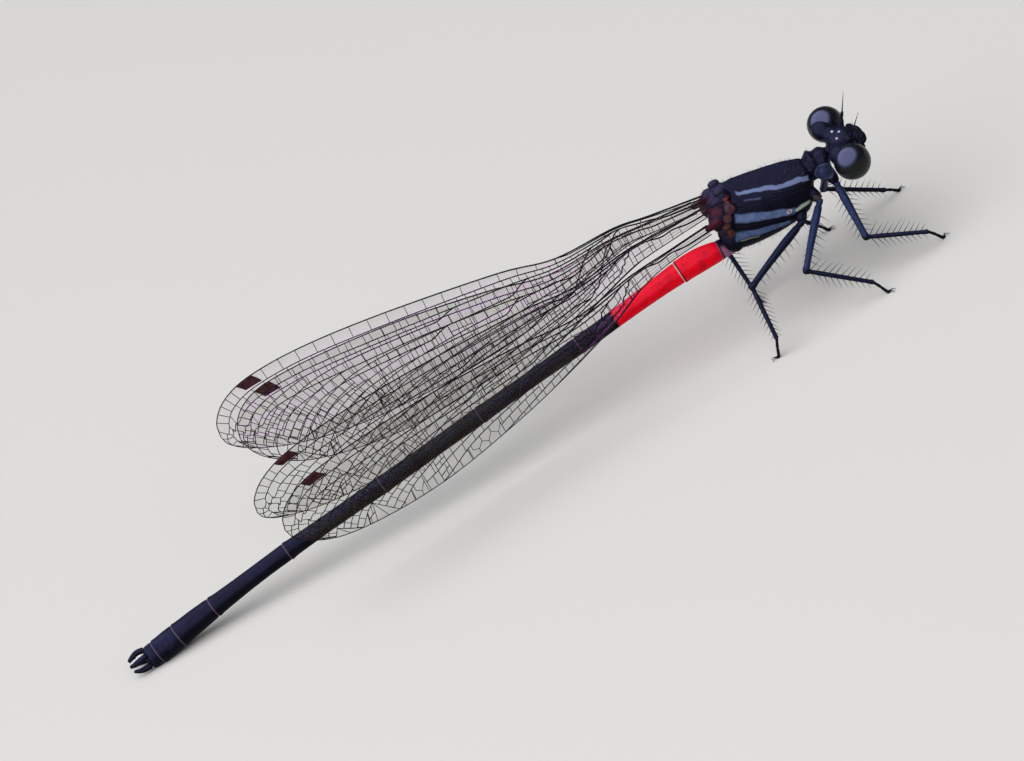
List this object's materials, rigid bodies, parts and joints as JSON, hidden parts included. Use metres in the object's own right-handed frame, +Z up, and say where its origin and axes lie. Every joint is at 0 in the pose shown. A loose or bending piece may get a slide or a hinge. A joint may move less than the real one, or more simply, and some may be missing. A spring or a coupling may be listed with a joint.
{
  "type": "damselfly",
  "caption": "Life-size still model of a resting damselfly: slim black body with a red tail front, half-open veined wings, on its feet and tail end.",
  "frame": {"origin": "middle of the footprint of the whole insect, on the floor", "axes": "+X along the body towards the head, +Y to the insect's left, +Z up"},
  "size_m": [0.0428, 0.0104, 0.0087],
  "materials": {
    "black_cuticle": "black insect cuticle with a thin blue-grey bloom",
    "striped_cuticle": "black insect cuticle with steel-blue stripes",
    "red_cuticle": "vivid red insect cuticle, satin",
    "compound_eye": "glossy near-black compound eye",
    "wing_membrane": "clear, faintly smoky membrane with black veins"
  },
  "bodies": {
    "root": {"head": "black_cuticle", "prothorax": "black_cuticle", "thorax": "striped_cuticle", "abdomen_01": "black_cuticle", "abdomen_02": "red_cuticle", "abdomen_03": "red_cuticle", "abdomen_04": "black_cuticle", "abdomen_05": "black_cuticle", "abdomen_06": "black_cuticle", "abdomen_07": "black_cuticle", "abdomen_08": "black_cuticle", "abdomen_09": "black_cuticle", "abdomen_10": "black_cuticle", "eye_left": "compound_eye", "antenna_left": "black_cuticle", "cercus_left": "black_cuticle", "paraproct_left": "black_cuticle", "forewing_left": "wing_membrane", "hindwing_left": "wing_membrane", "eye_right": "compound_eye", "antenna_right": "black_cuticle", "cercus_right": "black_cuticle", "paraproct_right": "black_cuticle", "forewing_right": "wing_membrane", "hindwing_right": "wing_membrane", "femur_front_left": "black_cuticle", "tibia_front_left": "black_cuticle", "tarsus_front_left": "black_cuticle", "femur_front_right": "black_cuticle", "tibia_front_right": "black_cuticle", "tarsus_front_right": "black_cuticle", "femur_middle_left": "black_cuticle", "tibia_middle_left": "black_cuticle", "tarsus_middle_left": "black_cuticle", "femur_middle_right": "black_cuticle", "tibia_middle_right": "black_cuticle", "tarsus_middle_right": "black_cuticle", "femur_hind_left": "black_cuticle", "tibia_hind_left": "black_cuticle", "tarsus_hind_left": "black_cuticle", "femur_hind_right": "black_cuticle", "tibia_hind_right": "black_cuticle", "tarsus_hind_right": "black_cuticle"}
  },
  "joints": []
}
